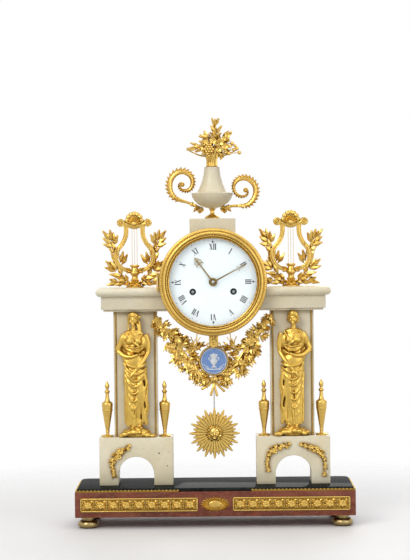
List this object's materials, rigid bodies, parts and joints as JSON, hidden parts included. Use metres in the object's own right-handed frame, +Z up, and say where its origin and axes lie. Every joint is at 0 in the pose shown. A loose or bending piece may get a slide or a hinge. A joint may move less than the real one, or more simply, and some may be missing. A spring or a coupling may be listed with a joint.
{
  "type": "pendulum mantel clock",
  "caption": "Portico mantel clock of white and red marble with gilt bronze figures, lyres, urn, festoons and a sunburst pendulum.",
  "frame": {"origin": "middle of the clock's box on the surface that its feet stand on", "axes": "+X to the right seen from the front, +Y to the back, +Z up"},
  "size_m": [0.4, 0.128, 0.587],
  "materials": {
    "red_marble": "polished red-brown marble, mottled and veined",
    "black_marble": "polished black marble",
    "white_marble": "honed warm white marble with faint grey veins",
    "gilt_bronze": "gilt bronze, burnished on the high places and matt in the hollows",
    "foot_brass": "turned brass, worn",
    "case_brass": "spun and lacquered brass",
    "string_brass": "drawn brass wire",
    "enamel": "fired white enamel on copper",
    "dial_glass": "clear flat glass",
    "cameo_blue": "matt blue stoneware with white relief",
    "movement_brass": "machined brass",
    "movement_steel": "polished steel",
    "bell_metal": "turned bell metal"
  },
  "bodies": {
    "case": {"base_block": "red_marble", "base_top_slab": "black_marble", "pedestal_left": "white_marble", "pedestal_right": "white_marble", "pier_left": "white_marble", "pier_right": "white_marble", "entablature_left": "white_marble", "entablature_right": "white_marble", "crown_block": "white_marble", "vase_body": "white_marble", "base_bead_trim": "gilt_bronze", "base_plaques": "gilt_bronze", "pedestal_sprays": "gilt_bronze", "pier_bead_strips": "gilt_bronze", "caryatid_left": "gilt_bronze", "caryatid_right": "gilt_bronze", "urn_finials": "gilt_bronze", "lyre_left": "gilt_bronze", "lyre_right": "gilt_bronze", "laurel_left": "gilt_bronze", "laurel_right": "gilt_bronze", "vase_foot": "gilt_bronze", "scroll_handle_left": "gilt_bronze", "scroll_handle_right": "gilt_bronze", "bouquet": "gilt_bronze", "garland_left": "gilt_bronze", "garland_right": "gilt_bronze", "medallion_ring": "gilt_bronze", "feet_left": "foot_brass", "feet_right": "foot_brass", "drum": "case_brass", "hinge_pins": "case_brass", "lyre_strings": "string_brass", "dial": "enamel", "medallion_plaque": "cameo_blue", "front_plate": "movement_brass", "back_plate": "movement_brass", "bell": "bell_metal"},
    "bezel": {"bezel": "gilt_bronze", "bezel_glass": "dial_glass"},
    "rear_door": {"rear_door": "case_brass"},
    "minute_arbor": {"centre_wheel": "movement_brass", "minute_hand": "gilt_bronze"},
    "hour_arbor": {"hour_wheel": "movement_brass", "hour_hand": "gilt_bronze"},
    "minute_wheel": {"minute_wheel": "movement_brass"},
    "going_second_wheel": {"going_second_wheel": "movement_brass"},
    "going_barrel": {"going_barrel": "movement_brass"},
    "third_wheel": {"third_wheel": "movement_brass"},
    "escape_wheel": {"escape_wheel": "movement_brass"},
    "pallet_anchor": {"pallet_anchor": "movement_steel"},
    "pendulum": {"pendulum_rod": "movement_steel", "pendulum_sun": "gilt_bronze"},
    "strike_barrel": {"strike_barrel": "movement_brass"},
    "strike_second_wheel": {"strike_second_wheel": "movement_brass"},
    "strike_pin_wheel": {"strike_pin_wheel": "movement_brass"},
    "strike_fly": {"strike_fly": "movement_brass"},
    "strike_hammer": {"strike_hammer": "movement_steel"},
    "winding_arbor_going": {"winding_arbor_going": "movement_steel"},
    "winding_arbor_strike": {"winding_arbor_strike": "movement_steel"}
  },
  "joints": [
    {"name": "bezel_hinge", "type": "hinge", "parent": "case", "child": "bezel", "pos_m": [-0.0792, -0.0362, 0.35], "axis": [0, 0, -1], "range_deg": [0, 110]},
    {"name": "rear_door_hinge", "type": "hinge", "parent": "case", "child": "rear_door", "pos_m": [0.0682, 0.0364, 0.35], "axis": [0, 0, -1], "range_deg": [0, 150]},
    {"name": "minute_turn", "type": "hinge", "parent": "case", "child": "minute_arbor", "pos_m": [0, 0, 0.35], "axis": [0, 1, 0], "continuous": true},
    {"name": "hour_turn", "type": "hinge", "parent": "case", "child": "hour_arbor", "pos_m": [0, 0, 0.35], "axis": [0, 1, 0], "continuous": true},
    {"name": "minute_wheel_turn", "type": "hinge", "parent": "case", "child": "minute_wheel", "pos_m": [0, 0, 0.362], "axis": [0, 1, 0], "continuous": true},
    {"name": "going_second_turn", "type": "hinge", "parent": "case", "child": "going_second_wheel", "pos_m": [0.00724, 0, 0.33407], "axis": [0, 1, 0], "continuous": true},
    {"name": "going_barrel_turn", "type": "hinge", "parent": "case", "child": "going_barrel", "pos_m": [0.0292, 0, 0.3361], "axis": [0, 1, 0], "continuous": true},
    {"name": "third_turn", "type": "hinge", "parent": "case", "child": "third_wheel", "pos_m": [0.00598, 0, 0.36591], "axis": [0, 1, 0], "continuous": true},
    {"name": "escape_turn", "type": "hinge", "parent": "case", "child": "escape_wheel", "pos_m": [0, 0, 0.38], "axis": [0, 1, 0], "continuous": true},
    {"name": "pendulum_swing", "type": "hinge", "parent": "case", "child": "pendulum", "pos_m": [0, 0, 0.394], "axis": [0, 1, 0], "range_deg": [-4, 4]},
    {"name": "pallet_swing", "type": "hinge", "parent": "case", "child": "pallet_anchor", "pos_m": [0, 0, 0.394], "axis": [0, 1, 0], "range_deg": [-4, 4]},
    {"name": "strike_pin_turn", "type": "hinge", "parent": "case", "child": "strike_pin_wheel", "pos_m": [-0.02154, 0, 0.36746], "axis": [0, 1, 0], "continuous": true},
    {"name": "strike_second_turn", "type": "hinge", "parent": "case", "child": "strike_second_wheel", "pos_m": [-0.03303, 0, 0.35781], "axis": [0, 1, 0], "continuous": true},
    {"name": "strike_barrel_turn", "type": "hinge", "parent": "case", "child": "strike_barrel", "pos_m": [-0.0292, 0, 0.3361], "axis": [0, 1, 0], "continuous": true},
    {"name": "strike_fly_turn", "type": "hinge", "parent": "case", "child": "strike_fly", "pos_m": [-0.01604, 0, 0.37698], "axis": [0, 1, 0], "continuous": true},
    {"name": "hammer_swing", "type": "hinge", "parent": "case", "child": "strike_hammer", "pos_m": [-0.034, 0, 0.38], "axis": [0, 1, 0], "range_deg": [0, 12]},
    {"name": "winding_turn_going", "type": "hinge", "parent": "case", "child": "winding_arbor_going", "pos_m": [0.0292, 0, 0.3361], "axis": [0, 1, 0], "continuous": true},
    {"name": "winding_turn_strike", "type": "hinge", "parent": "case", "child": "winding_arbor_strike", "pos_m": [-0.0292, 0, 0.3361], "axis": [0, 1, 0], "continuous": true}
  ],
  "couplings": [
    {"joint": "hour_turn", "follows": "minute_turn", "ratio": 0.083333},
    {"joint": "minute_wheel_turn", "follows": "minute_turn", "ratio": -0.33333},
    {"joint": "going_second_turn", "follows": "minute_turn", "ratio": -0.16667},
    {"joint": "going_barrel_turn", "follows": "minute_turn", "ratio": 0.027778},
    {"joint": "third_turn", "follows": "minute_turn", "ratio": -7.5},
    {"joint": "escape_turn", "follows": "minute_turn", "ratio": 56.25},
    {"joint": "pallet_swing", "follows": "pendulum_swing", "ratio": 1},
    {"joint": "strike_second_turn", "follows": "strike_pin_turn", "ratio": -0.15385},
    {"joint": "strike_barrel_turn", "follows": "strike_pin_turn", "ratio": 0.025641},
    {"joint": "strike_fly_turn", "follows": "strike_pin_turn", "ratio": -6.8571}
  ]
}
